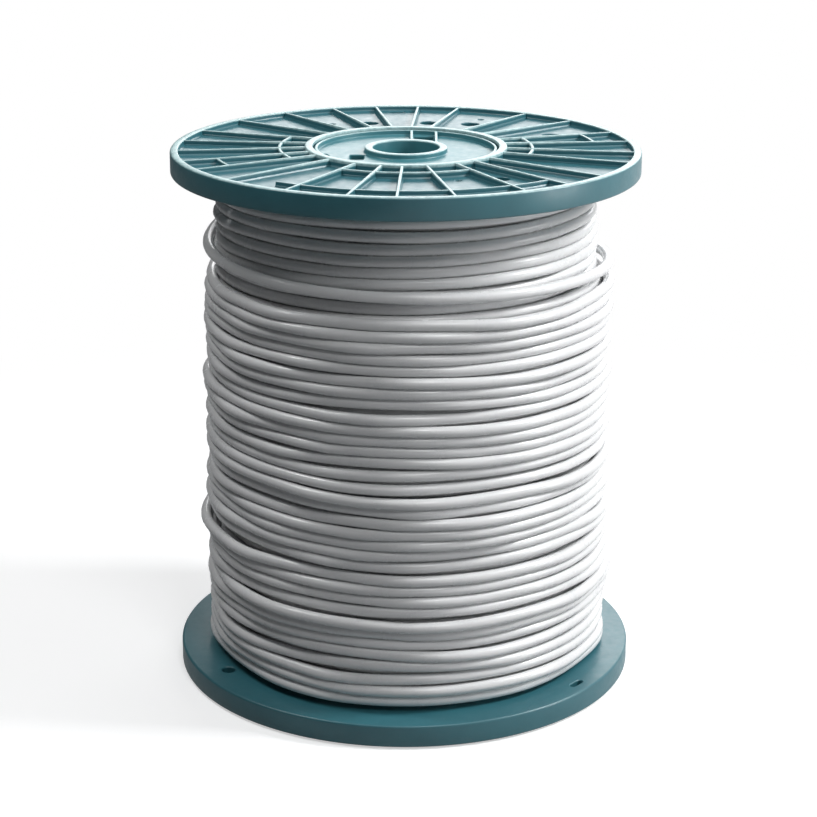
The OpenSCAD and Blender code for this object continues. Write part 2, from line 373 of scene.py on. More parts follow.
@dataclass(frozen=True)
class Opening:
    """An opening through a wall, with its edges broken on both sides. A round hole's corner is its half size."""

    at: Array | Point
    half: Point
    corner: float
    turn: float = 0.0
    chamfer: float = 0.5
    # Corners are rounded by a little less than half the opening, so that no side vanishes
    corner_share: float = 0.999
    corner_steps: int = 7

    def cutter(self, bottom: float, top: float) -> Object:
        """Makes the solid that cuts the opening.

        Args:
            bottom: Height of the wall's lower face, in millimetres.
            top: Height of its upper face.

        Returns:
            A closed prism that flares at both faces.
        """
        over, flare = 1.0, 1.0 + self.chamfer
        levels = ((bottom - over, flare), (bottom + self.chamfer, 0), (top - self.chamfer, 0), (top + over, flare))
        turn = Matrix.Rotation(math.radians(self.turn), 2)
        rows = []
        for height, grow in levels:
            x, y = self.half[0] + grow, self.half[1] + grow
            r = (self.corner + grow) * self.corner_share
            outline = rounded([(x, y, r), (-x, y, r), (-x, -y, r), (x, -y, r)], self.corner_steps)
            flat = [turn @ Vector(p) + Vector(self.at) for p in outline]
            rows.append([(p.x, p.y, height) for p in flat])
        count = len(rows[0])
        faces = []
        for here, j in itertools.product(range(0, 3 * count, count), range(count)):
            after = (j + 1) % count
            faces.append([here + j, here + after, here + count + after, here + count + j])
        faces += [list(range(count))[::-1], list(range(3 * count, 4 * count))]
        return new_object("cutter", np.array(rows).reshape(-1, 3) * MM, faces)


def cut(piece: Object, openings: list[Opening], bottom: float, top: float) -> None:
    """Cuts openings through a piece.

    Args:
        piece: The piece, whose mesh is replaced.
        openings: The openings.
        bottom: Height of the wall's lower face, in millimetres.
        top: Height of its upper face.
    """
    for opening in openings:
        cutter = opening.cutter(bottom, top)
        modifier = piece.modifiers.new("cut", "BOOLEAN")
        modifier.operation, modifier.solver, modifier.object = "DIFFERENCE", "EXACT", cutter
        apply_modifiers(piece)
        bpy.data.objects.remove(cutter)


def finish_piece(
    piece: Object, replaced: str, material: Material, placing: Matrix = Matrix(), sharp_deg: float = 42.0
) -> None:
    """Places a piece, shades it, dresses it, lets it ride and lets it replace a CAD node.

    Args:
        piece: The piece, built in its own frame.
        replaced: The node's name.
        material: The piece's material.
        placing: Where it goes.
        sharp_deg: Edges sharper than this stay sharp.
    """
    mesh = piece.data
    mesh.transform(placing)
    mesh.polygons.foreach_set("use_smooth", [True] * len(mesh.polygons))
    mesh.set_sharp_from_angle(angle=math.radians(sharp_deg))
    mesh.materials.clear()
    mesh.materials.append(material)
    mesh.update()
    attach(piece, BODY)
    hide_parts(replaced)
    LOG.info("%s: %d faces", piece.name, len(mesh.polygons))


# ---- geometry nodes


class SweepTree(Tree):
    """A Geometry Nodes tree with named inputs for its sizes, which sweeps something along a mesh's edges."""

    def __init__(self, name: str, sizes: dict[str, float]) -> None:
        """Starts the tree with an input for each size and one for the material.

        Args:
            name: The tree's name.
            sizes: Sizes in millimetres, and counts.
        """
        super().__init__(bpy.data.node_groups.new(name, "GeometryNodeTree"))
        self.sizes = sizes
        inputs = {"Geometry": "Geometry"} | dict.fromkeys(sizes, "Float") | {"Material": "Material"}
        for title, kind in inputs.items():
            self.tree.interface.new_socket(title, in_out="INPUT", socket_type=f"NodeSocket{kind}")
        self.tree.interface.new_socket("Geometry", in_out="OUTPUT", socket_type="NodeSocketGeometry")
        self.start = add_node(self.tree, "NodeGroupInput")
        self.path = self.node("GeometryNodeMeshToCurve", inputs={"Mesh": self.value("Geometry")})

    def value(self, name: str) -> Socket:
        """The socket of a named input."""
        return self.start.outputs[name]

    def metres(self, name: str) -> Socket:
        """A named size in metres."""
        return self.maths("MULTIPLY", self.value(name), MM)

    def swept(self, profile: Socket) -> Socket:
        """The mesh that a profile sweeps along the paths."""
        inputs = {"Curve": self.path, "Profile Curve": profile, "Fill Caps": True}
        return self.node("GeometryNodeCurveToMesh", inputs=inputs)

    def end(self, geometry: Socket) -> None:
        """Ends the tree in smooth shading, Realize Instances and Set Material."""
        smooth = self.node("GeometryNodeSetShadeSmooth", inputs={"Geometry": geometry})
        real = self.node("GeometryNodeRealizeInstances", inputs={"Geometry": smooth})
        inputs = {"Geometry": real, "Material": self.value("Material")}
        dressed = self.node("GeometryNodeSetMaterial", inputs=inputs)
        add_node(self.tree, "NodeGroupOutput", inputs={"Geometry": dressed})

    def run(self, paths: Object, material: Material) -> Object:
        """Applies the tree.

        Args:
            paths: The object whose edges are the paths.
            material: The material for the result.

        Returns:
            The same object, with the swept mesh in place of the paths.
        """
        modifier = paths.modifiers.new("sweep", "NODES")
        modifier.node_group = self.tree
        values = {name: float(size) for name, size in self.sizes.items()} | {"Material": material}
        for item in self.tree.interface.items_tree:
            if item.in_out == "INPUT" and item.name in values:
                modifier[item.identifier] = values[item.name]
        apply_modifiers(paths)
        return paths


def path_object(name: str, paths: list[Array], shares: list[Array] | None = None) -> Object:
    """Makes an object whose edges are open paths.

    Args:
        name: The object's name.
        paths: Points of each path, in metres.
        shares: A number for each point, kept as the attribute wall_share.

    Returns:
        The object.
    """
    points = np.concatenate(paths)
    last = set(np.cumsum([len(path) for path in paths]) - 1)
    piece = new_object(name, points, [], [(i, i + 1) for i in range(len(points)) if i not in last])
    if shares is not None:
        kept = piece.data.attributes.new("wall_share", "FLOAT", "POINT")
        kept.data.foreach_set("value", np.concatenate(shares).astype(np.float32))
    return piece


class RibTree(SweepTree):
    """Moulded ribs: a drafted wall with a rounded top, on a flared foot that blends into the floor.

    The paths lie on the floor. Their wall_share attribute is the share of the full height at each point.
    """

    def __init__(self, height: float, floor: float, top: float = 1.7, root: float = 2.3, foot: float = 1.0) -> None:
        """Builds the tree. All sizes are in millimetres.

        Args:
            height: Full height of the wall.
            floor: Height of the floor.
            top: Thickness at the top.
            root: Thickness at the root.
            foot: Size of the flare at the foot.
        """
        sizes = {"Height": height, "Floor": floor, "Top": top, "Root": root, "Foot": foot}
        sizes |= {"Foot Width": root + 2 * foot, "Sink": 0.6, "Corner": 0.45, "Foot Corner": 0.25}
        super().__init__("moulded_ribs", sizes)
        self.path = self.node("GeometryNodeSetCurveNormal", {"mode": "Z_UP"}, {0: self.path})
        wall = self._lowered(self._sweep("Height", "Root", "Top", "Corner"))
        flare = self._sweep("Foot", "Foot Width", "Root", "Foot Corner")
        self.end(self.node("GeometryNodeJoinGeometry", inputs={0: [wall, flare]}))

    def _sweep(self, height: str, bottom: str, top: str, corner: str) -> Socket:
        """Sweeps a trapezoid along the paths.

        Args:
            height: Name of its height above the floor.
            bottom: Name of its lower width.
            top: Name of its upper width.
            corner: Name of its corners' radius.

        Returns:
            The swept mesh.
        """
        whole = self.maths("ADD", self.metres(height), self.metres("Sink"))
        inputs = {"Height": whole, "Bottom Width": self.metres(top), "Top Width": self.metres(bottom), "Offset": 0.0}
        shape = self.node("GeometryNodeCurvePrimitiveQuadrilateral", {"mode": "TRAPEZOID"}, inputs)
        inputs = {"Curve": shape, "Radius": self.metres(corner), "Count": 3, "Limit Radius": True}
        soft = self.node("GeometryNodeFilletCurve", {"mode": "POLY"}, inputs)
        # The profile's Y runs down on an upright path
        lift = self.maths("SUBTRACT", self.metres("Sink"), self.maths("MULTIPLY", whole, 0.5))
        offset = self.node("ShaderNodeCombineXYZ", inputs={"Y": lift})
        return self.swept(self.node("GeometryNodeTransform", inputs={"Geometry": soft, "Translation": offset}))

    def _lowered(self, wall: Socket) -> Socket:
        """Lowers a swept wall to its share of the full height.

        Args:
            wall: The wall.

        Returns:
            The lowered wall.
        """
        height = self.part(self.node("GeometryNodeInputPosition"), "Z")
        above = self.maths("MAXIMUM", self.maths("SUBTRACT", height, self.metres("Floor")), 0.0)
        kept = {"data_type": "FLOAT"}
        share = self.node("GeometryNodeInputNamedAttribute", kept, {"Name": "wall_share"}, "Attribute")
        change = self.maths("MULTIPLY", above, self.maths("SUBTRACT", share, 1.0))
        offset = self.node("ShaderNodeCombineXYZ", inputs={"Z": change})
        return self.node("GeometryNodeSetPosition", inputs={"Geometry": wall, "Offset": offset})


class TubeTree(SweepTree):
    """A round tube along each path."""

    def __init__(self, name: str, diameter: float, sides: int) -> None:
        """Builds the tree.

        Args:
            name: The tree's name.
            diameter: Diameter in millimetres.
            sides: Number of sides.
        """
        super().__init__(name, {"Diameter": diameter, "Sides": sides})
        self.path = self.node("GeometryNodeSetCurveNormal", {"mode": "MINIMUM_TWIST"}, {0: self.path})
        radius = self.maths("MULTIPLY", self.value("Diameter"), MM / 2)
        inputs = {"Resolution": self.value("Sides"), "Radius": radius}
        self.end(self.swept(self.node("GeometryNodeCurvePrimitiveCircle", {"mode": "RADIUS"}, inputs)))


# ---- the moulded flanges


@dataclass
class Moulding:
    """What the pieces of one moulding share. All are built in the flange's frame."""

    # Also the name of the CAD node that the moulding stands for
    name: str
    slot: Slot
    material: Material
    placing: Matrix

    def ribs(self, part: str, paths: list[Array], shares: list[Array], tree: SweepTree) -> Object:
        """Sweeps one piece of ribs along its paths, with the share of the full height at each point."""
        return tree.run(path_object(f"{self.name}_{part}", paths, shares), self.material)

    def finish(self, pieces: list[Object]) -> None:
        """Places the moulding's pieces, which replace its node."""
        for piece in pieces:
            finish_piece(piece, self.name, self.material, self.placing)


@dataclass
class Flange(Moulding):
    """One flange moulding: z = 0 is the winding's side and the ribs point up."""

    outer: float = 145.0
    rim: float = 5.0
    depth: float = 14.0
    web: float = 10.5
    collar_inner: float = 57.5
    collar_outer: float = 62.5
    collar_top: float = 15.25
    rib_at_rim: float = 13.7
    rib_at_collar: float = 14.95
    arc_drop: float = 0.3
    # How far the ribs' ends reach into the collar and the rim
    into_wall: float = 0.8
    steps: int = 320
    rib_angles: tuple[float, ...] = (
        9, 21.6, 40, 55.6, 75.6, 86.8, 98.4, 110.4, 125, 141, 158, 172, 185, 198, 208.6, 222.4, 241, 256.4, 268,
        281.6, 299, 311.5, 324.5, 342, 355,
    )  # fmt: skip
    # Radius, first rib and last rib of each ring of wall between the ribs
    arcs: tuple[Triple, ...] = (
        (78, 10, 14), (78, 16, 20), (78, 23, 26), (124.5, 15.6, 21), (119, 13, 14), (119, 0, 1),
    )  # fmt: skip
    tie_radius: float = 128.5
    tie_angles: Point = (203.3, 15.3)
    tie_hole: float = 8.5
    # Radius, angle and diameter of the drain and vent holes
    drains: tuple[Triple, ...] = (
        (108, 30.8, 12), (102, 65.6, 12), (98, 81.2, 12), (98, 104.4, 12), (95, 305.25, 12),
        (120, 65.6, 4), (104, 117.7, 4), (88, 290.3, 4),
    )  # fmt: skip
    slot_at: Point = (136, 92.6)
    slot_half: Point = (2, 5.5)

    def rib_angle(self, index: float) -> float:
        """The angle in degrees of a rib, or of a place between two ribs."""
        around = [*self.rib_angles, *(360 + angle for angle in self.rib_angles)]
        return float(np.interp(index, range(len(around)), around))

    def wall_top(self, radius: float | Array) -> float | Array:
        """Height of a radial rib's top at a radius."""
        share = (self.outer - self.rim - radius) / (self.outer - self.rim - self.collar_outer)
        return self.rib_at_rim + (self.rib_at_collar - self.rib_at_rim) * share

    def build_disc(self) -> Object:
        """Makes the web with its rim, collar and holes."""
        inner_rim = self.outer - self.rim
        # Radius, height and rounding of each corner
        outline = rounded([
            (self.collar_inner, 0, 0.4), (self.outer, 0, 1.4), (self.outer, self.depth, 1.4),
            (inner_rim, self.depth, 0.8), (inner_rim, self.web, 1.5), (self.collar_outer, self.web, 1.5),
            (self.collar_outer, self.collar_top, 0.9), (self.collar_inner, self.collar_top, 0.6),
        ])  # fmt: skip
        disc = lathed(f"{self.name}_disc", outline, self.steps)
        holes = [(self.tie_radius, angle, self.tie_hole) for angle in self.tie_angles] + list(self.drains)
        openings = [Opening(polar(radius, angle)[:2], (size / 2,) * 2, size / 2) for radius, angle, size in holes]
        openings.append(Opening(polar(*self.slot_at)[:2], self.slot_half, self.slot_half[0], self.slot_at[1]))
        cut(disc, openings, 0.0, self.web)
        return disc

    def build_ribs(self) -> Object:
        """Sweeps the radial ribs and the walls between them."""
        full = self.collar_top - self.web
        radii = np.array([self.collar_outer - self.into_wall, self.outer - self.rim + self.into_wall])
        paths = [polar(radii, angle, self.web) * MM for angle in self.rib_angles]
        shares = [(self.wall_top(radii) - self.web) / full] * len(paths)
        for radius, first, last in self.arcs:
            sweep = np.linspace(self.rib_angle(first), self.rib_angle(last), int(8 * (last - first)) + 8)
            paths.append(polar(radius, sweep, self.web) * MM)
            shares.append(np.full(len(sweep), (self.wall_top(radius) - self.arc_drop - self.web) / full))
        return self.ribs("ribs", paths, shares, RibTree(full, self.web))

    def build(self) -> None:
        """Makes and places the flange."""
        self.finish([self.build_disc(), self.build_ribs()])


# ---- the hubs


@dataclass
class Hub(Moulding):
    """One hub moulding: lip, disc, boss for the bar, and a skirt inside the barrel."""

    bore: float = 20.5
    spigot: float = 23.0
    boss: float = 25.5
    boss_top: float = 14.0
    spigot_end: float = -20.0
    shoulder: float = -10.0
    disc: Point = (6.7, 10.7)
    skirt: Point = (54.4, 57.4)
    skirt_end: float = -25.0
    lip_outer: float = 56.3
    lip_top: float = 13.8
    ledge: float = 9.0
    short_ribs: Point = (3.5, 19.0)
    brace_bottom: float = -9.5
    brace_count: int = 5
    brace_start: float = 30.0
    # How far a wall's ends reach into the boss and the skirt
    into_boss: float = 0.8
    into_skirt: float = 0.6
    wall: float = 2.0
    steps: int = 160
    windows: tuple[Opening, ...] = (
        Opening((-30.0, -17.0), (4.5, 7.5), 1.5),
        Opening((11.25, 37.95), (6.75, 11.45), 1.0),
        Opening(tuple(polar(50.9, 200)[:2]), (2.5, 11.0), 1.0, 200.0),
    )

    def build_turned(self) -> Object:
        """Makes the disc with its boss, lip and skirt, and opens its windows."""
        low, high = self.disc
        inner, outer = self.skirt
        bore, spigot, boss, lip = self.bore, self.spigot, self.boss, self.lip_outer
        outline = rounded([
            (bore, self.spigot_end, 0.5), (spigot, self.spigot_end, 0.6), (spigot, self.shoulder, 0.2),
            (boss, self.shoulder, 0.5), (boss, low, 1.0), (inner, low, 1.0), (inner, self.skirt_end, 0.5),
            (outer, self.skirt_end, 0.8), (outer, self.ledge, 0.3), (lip, self.ledge, 0.2),
            (lip, self.lip_top, 0.6), (inner, self.lip_top, 0.5), (inner, high, 0.8), (boss, high, 1.0),
            (boss, self.boss_top, 0.7), (bore, self.boss_top, 1.0),
        ])  # fmt: skip
        turned = lathed(f"{self.name}_disc", outline, self.steps)
        cut(turned, list(self.windows), low, high)
        return turned

    def build_ribs(self) -> Object:
        """Sweeps the two short ribs on the disc."""
        high = self.disc[1]
        paths = []
        for x in self.short_ribs:
            near = math.sqrt(self.boss**2 - x**2) - self.into_boss
            far = math.sqrt(self.skirt[0] ** 2 - x**2) + self.into_skirt
            paths.append(np.array([(x, near, high), (x, far, high)]) * MM)
        tree = RibTree(self.lip_top - high, high, 1.8, 2.2, 0.8)
        return self.ribs("ribs", paths, [np.ones(2)] * len(paths), tree)

    def build_braces(self) -> Object:
        """Sweeps the braces under the disc."""
        radii = np.array([self.boss - self.into_boss, self.skirt[0] + self.into_skirt])
        angles = self.brace_start + 360 / self.brace_count * np.arange(self.brace_count)
        paths = [polar(radii, angle) * MM for angle in angles]
        # Swept upside down from the disc's lower face
        low = self.disc[0]
        tree = RibTree(low - self.brace_bottom, 0.0, self.wall, self.wall + 0.5)
        braces = self.ribs("braces", paths, [np.ones(2)] * len(paths), tree)
        braces.data.transform(Matrix.Translation((0, 0, low * MM)) @ Matrix.Rotation(math.pi, 4, "X"))
        return braces

    def build(self) -> None:
        """Makes and places the hub."""
        self.finish([self.build_turned(), self.build_ribs(), self.build_braces()])


# ---- the winding


@dataclass
class Pile:
    """The outside of all that is wound so far: a radius for each direction and height, in millimetres."""

    cable: float
    directions: int
    bottom: float
    top: float
    step: float = 0.25
    surface: Array = field(init=False)

    def __post_init__(self) -> None:
        """Starts with an empty pile."""
        rows = int(round((self.top - self.bottom) / self.step)) + 1
        self.surface = np.zeros((self.directions, rows))
        reach = int(self.cable / 2 / self.step)
        self.offsets = np.arange(-reach, reach + 1)
        self.bulge = np.sqrt((self.cable / 2) ** 2 - (self.offsets * self.step) ** 2)

    def _rows(self, heights: Array) -> Array:
        """Row numbers of the surface round each height."""
        middle = np.rint((heights - self.bottom) / self.step).astype(int)
        return np.clip(middle[:, None] + self.offsets, 0, self.surface.shape[1] - 1)

    def rest(self, ways: Array, heights: Array) -> Array:
        """Radii at which the cable's centre touches what lies under it, from direction numbers and heights."""
        return (self.surface[ways[:, None], self._rows(heights)] + self.bulge).max(axis=1)

    def bury(self, ways: Array, heights: Array, radii: Array) -> None:
        """Adds a stretch of cable to the pile, given by the places of its centre."""
        rows = self._rows(heights)
        np.maximum.at(self.surface, (ways[:, None], rows), radii[:, None] + self.bulge)


@dataclass(frozen=True)
class Layer:
    """One layer of turns. Its turns run clockwise seen from above."""

    name: str
    start: float
    stop: float
    pitch: float
    start_angle: float
    sway: float
    seed: int
    sides: int
    # Whether it starts at the lower flange's tie hole
    led: bool = False
    # Turn, span in turns and rise in millimetres of each place where a turn strays over its neighbour
    strays: tuple[Triple, ...] = ()


@dataclass
class Winding:
    """The wound cable: a scalloped core and two layers whose turns lie on what is under them."""

    cable: float = 6.8
    barrel: float = 60.7
    # Distances of the core and of the layers from the flanges
    gap: float = 0.2
    clear: float = 0.1
    core_pitch: float = 7.05
    core_radius: float = 108.4
    fuller: float = 2.0
    right_fuller: float = 1.9
    full_below: float = 270.0
    full_fade: float = 14.0
    # The bed is leaner by the lower flange
    lean_below: float = 30.0
    lean_fade: float = 10.0
    leaner: float = 2.6
    steps: int = 96
    reach: int = 8
    # Least and greatest distance between neighbouring turns
    closest: float = 6.7
    widest: float = 10.2
    tie_radius: float = 128.5
    start_angle: float = 39.0
    end_angle: float = 15.3
    bend: float = 7.0
    rise: float = 2.0
    settle: float = 0.1
    # Angle in degrees over which the cable leaves the pile for the upper tie hole
    reaching_out: float = 24.0
    lead_height: float = 24.25
    # How far the cable's radii are smoothed, and the slack loop's heights, radii and distances off the pile, in steps
    layer_spread: float = 1.5
    height_spread: float = 5.0
    radius_spread: float = 2.5
    off_spread: float = 4.0
    # Steps over which the slack loop leaves the layer
    joining: int = 8
    # Waves of the sway in each turn, and how fast it grows from both ends
    sway_rates: tuple[float, ...] = (0.13, 0.41, 0.77, 1.37, 2.61, 3.83)
    sway_growth: float = 1.5
    # Angle, height and distance off the pile of places on the slack loop; the first is set by the layer's end
    slack_knots: tuple[Triple, ...] = (
        (39, 261.5, 0), (0, 267.5, 4.5), (-50, 270.5, 2.5), (-90, 272, 0), (-180, 277, 0), (-220, 287, 0),
        (-270, 306, 0), (-290, 311.5, 0), (-310, 313.2, 0), (-341.6, 313.2, 0),
    )  # fmt: skip
    inner: Layer = Layer(
        "cable_under_layer", start=318.3, stop=19.0, pitch=7.0, start_angle=150.0, sway=0.45, seed=11, sides=10
    )
    outer: Layer = Layer(
        "cable_outer_turns", start=19.3, stop=261.5, pitch=7.1235, start_angle=39.0, sway=0.75, seed=23, sides=14,
        led=True,
        # The first turns climb over the cable's end, and four more run loose
        strays=(
            *((turn, 0.12, 5.0 - 0.6 * turn) for turn in range(1, 7)),
            (7.3, 0.25, -1.1), (11.7, 0.3, -1.3), (18.3, 0.25, -1.2), (27.8, 0.3, -1.3),
        ),
    )  # fmt: skip

    def bed_radius(self, angles: Array, heights: Array) -> Array:
        """Radius of the hidden turns' centres, which is larger where more cable is wound.

        Args:
            angles: Directions in radians.
            heights: Heights in millimetres.

        Returns:
            The radii.
        """
        full = smooth_step((self.full_below - heights) / self.full_fade)
        low = np.clip((self.lean_below - heights) / self.lean_fade, 0, 1)
        return self.core_radius + full * (self.fuller + self.right_fuller * np.cos(angles)) - self.leaner * low

    def core_outline(self) -> list[Point]:
        """The core's outline, with a bump for each hidden turn."""
        bottom, top = LOWER_FACE + self.gap, UPPER_FACE - self.gap
        count = int((top - bottom) / self.core_pitch)
        pitch = (top - bottom) / count
        middles = (bottom + (np.arange(count) + 0.5) * pitch)[:, None]
        across = np.array([-0.99, -0.8, -0.4, 0, 0.4, 0.8, 0.99])
        radii = self.bed_radius(math.pi / 2, middles) + np.sqrt(1 - across**2) * self.cable / 2
        bumps = list(zip(radii.ravel(), (middles + across * self.cable / 2).ravel()))
        return [(self.barrel, bottom), (bumps[0][0], bottom), *bumps, (bumps[-1][0], top), (self.barrel, top)]

    def first_pile(self) -> Pile:
        """The core as a pile, for the layers to lie on."""
        pile = Pile(self.cable, self.steps, LOWER_FACE, UPPER_FACE)
        heights = np.arange(pile.surface.shape[1]) * pile.step + pile.bottom
        angles = np.arange(self.steps) * 2 * math.pi / self.steps
        across = (heights - LOWER_FACE) / self.core_pitch
        dip = np.abs(across % 1 - 0.5) * self.core_pitch
        bump = np.sqrt(np.maximum((self.cable / 2) ** 2 - dip**2, 0))
        pile.surface[:] = self.bed_radius(angles[:, None], heights) + bump
        return pile

    def ways(self, degrees: Array) -> Array:
        """The pile's direction numbers for angles in degrees."""
        return np.rint(degrees / 360 * self.steps).astype(int) % self.steps

    def sway(self, layer: Layer, turns: Array) -> Array:
        """How far each place of a layer lies from an even helix.

        Args:
            layer: The layer.
            turns: Places along it, in turns.

        Returns:
            Heights in millimetres.
        """
        draw = np.random.default_rng(layer.seed)
        drift = np.zeros(len(turns))
        for rate in self.sway_rates:
            drift += draw.uniform(0.5, 1.0) * np.sin(2 * math.pi * (rate * turns + draw.uniform()))
        return drift * layer.sway * np.clip(np.minimum(turns, turns[-1] - turns) * self.sway_growth, 0, 1)

    def taut(self, radii: Array, first: int, last: int) -> Array:
        """Pulls a stretch of cable straight over the dips under it.

        Args:
            radii: Radii at even steps, with the neighbours of the stretch on both sides.
            first: Number of the stretch's first place.
            last: Number of the place after its last.

        Returns:
            The radii of the stretch.
        """
        turn = 2 * math.pi / self.steps
        pulled = radii[first:last].copy()
        for back, ahead in itertools.product(range(1, self.reach + 1), repeat=2):
            places = np.arange(max(first, back), min(last, len(radii) - ahead))
            behind, before = radii[places - back], radii[places + ahead]
            shares = math.sin(ahead * turn) / behind + math.sin(back * turn) / before
            chord = math.sin((back + ahead) * turn) / shares
            pulled[places - first] = np.maximum(pulled[places - first], chord)
        return pulled

    def lay(self, pile: Pile, layer: Layer) -> Array:
        """Winds one layer on the pile.

        Args:
            pile: What it lies on. The layer is added to it.
            layer: The layer.

        Returns:
            Rows of radii, angles in degrees and heights, with a place in each column.
        """
        count = int(abs(layer.stop - layer.start) / layer.pitch * self.steps)
        turns = np.arange(count + self.reach) / self.steps
        way = math.copysign(1.0, layer.stop - layer.start)
        heights = layer.start + layer.pitch * way * turns + self.sway(layer, turns)
        for place in range(self.steps, len(heights)):
            apart = (heights[place] - heights[place - self.steps]) * way
            heights[place] = heights[place - self.steps] + way * min(max(apart, self.closest), self.widest)
        for at, span, stray in layer.strays:
            heights += stray * smooth_step(1 - np.abs(turns - at) / span)
        heights += (self.lead_height - layer.start) * self.settled(turns) * layer.led
        from_face = self.cable / 2 + self.clear
        heights = np.clip(heights, LOWER_FACE + from_face, UPPER_FACE - from_face)
        angles = layer.start_angle - turns * 360
        ways = self.ways(angles)
        radii = np.zeros(count + self.reach)
        for begin in range(0, count, self.steps // 4):
            end = min(begin + self.steps // 4, count)
            ahead = np.arange(begin, end + self.reach)
            radii[ahead] = pile.rest(ways[ahead], heights[ahead])
            radii[begin:end] = self.taut(radii[: end + self.reach], begin, end)
            led = self.settled(turns[begin:end]) * layer.led
            radii[begin:end] += np.maximum(self.tie_radius - radii[begin:end], 0) * led
            pile.bury(ways[begin:end], heights[begin:end], radii[begin:end])
        radii = self.eased(radii[:count], self.layer_spread)
        if not layer.led:
            radii -= self.cable * self.settled(turns[:count])
        return np.stack([radii, angles[:count], heights[:count]])

    def settled(self, turns: Array) -> Array:
        """1 at the start of a layer, down to 0 where its end has settled in."""
        return smooth_step(1 - turns / self.settle)

    def eased(self, values: Array, spread: float) -> Array:
        """Smooths values along the cable by a Gaussian of that spread in steps."""
        reach = int(4 * spread) + 1
        weights = np.exp(-0.5 * (np.arange(-reach, reach + 1) / spread) ** 2)
        return np.convolve(np.pad(values, reach, mode="edge"), weights / weights.sum(), mode="valid")

    def slack_loop(self, pile: Pile, before: Array) -> Array:
        """The last loop, which is slack, and its climb to the tie hole at the back.

        Args:
            pile: What it lies on.
            before: Radius, angle and height of the last place of the layer.

        Returns:
            Rows as lay gives them, up to the bend into the tie hole.
        """
        offset = before[1] - self.outer.start_angle
        stop = offset + self.end_angle - 360 + math.degrees(self.bend / self.tie_radius)
        places = np.arange(before[1], stop, -360 / self.steps)[1:]
        knots = np.array(self.slack_knots)
        knots[0] = (self.outer.start_angle, before[2], 0)
        turned = places - offset
        heights, off = (np.interp(-turned, -knots[:, 0], knots[:, k]) for k in (1, 2))
        heights = self.eased(np.concatenate([[before[2]] * 6, heights]), self.height_spread)[6:]
        radii = self.eased(pile.rest(self.ways(places), heights), self.radius_spread)
        radii += self.eased(off, self.off_spread)
        radii += (self.tie_radius - radii) * smooth_step(1 - (turned - knots[-1, 0]) / self.reaching_out)
        radii += (before[0] - radii) * (1 - np.clip(np.arange(len(places)) / self.joining, 0, 1))
        return np.stack([radii, places, heights])

    def straight_end(self, angle: float, face: float, inward: float) -> Array:
        """The bend from a tie hole into the winding, from the hole on.

        Args:
            angle: The hole's angle in degrees.
            face: Height of the flange's face.
            inward: 1 for the lower flange and -1 for the upper one.

        Returns:
            Points in millimetres.
        """
        hole = polar(self.tie_radius, angle, face)
        points = [hole - (0, 0, inward * self.cable), hole]
        for bent in np.arange(6) / 6 * math.pi / 2:
            height = inward * (self.rise + self.bend * math.sin(bent))
            points.append(hole + polar(inward * self.bend * (1 - math.cos(bent)), angle - 90, height))
        return np.array(points)

    def build(self, material: Material) -> None:
        """Winds the cable.

        Args:
            material: The sheath's material.
        """
        finish_piece(lathed("cable_core", self.core_outline(), 120), "cable_pack", material)
        pile = self.first_pile()
        under = polar(*self.lay(pile, self.inner))
        top = self.lay(pile, self.outer)
        wound = polar(*np.hstack([top, self.slack_loop(pile, top[:, -1])]))
        first = self.straight_end(self.start_angle, LOWER_FACE, 1)
        last = self.straight_end(self.end_angle, UPPER_FACE, -1)[::-1]
        for layer, path in ((self.inner, under), (self.outer, np.vstack([first, wound, last]))):
            line = path_object(layer.name, [path * MM])
            turns = TubeTree(layer.name, self.cable, layer.sides).run(line, material)
            finish_piece(turns, "cable_outer_layer", material, sharp_deg=60)


# ---- carried-over tubes


def dress_tube(name: str, material: Material) -> None:
    """Gives a tube that is carried over from the CAD its material.

    Args:
        name: The CAD node's name.
        material: The material.
    """
    node = bpy.data.objects[name]
    node.data.materials.clear()
    node.data.materials.append(material)
    LOG.info("%s: carried over", name)


# ---- studio


@dataclass(frozen=True)
class Lamp:
    """A rectangular soft lamp that points at the spool."""

    name: str
    place: Triple
    size: Point
    power: float
    aim: Triple = (0.0, 0.0, 0.17)

    def build(self) -> None:
        """Adds the lamp."""
        light = bpy.data.lights.new(self.name, "AREA")
        light.shape, light.energy = "RECTANGLE", self.power
        light.size, light.size_y = self.size
        lamp = add_object(self.name, light)
        lamp.location = self.place
        lamp.rotation_euler = (Vector(self.aim) - Vector(self.place)).to_track_quat("-Z", "Y").to_euler()


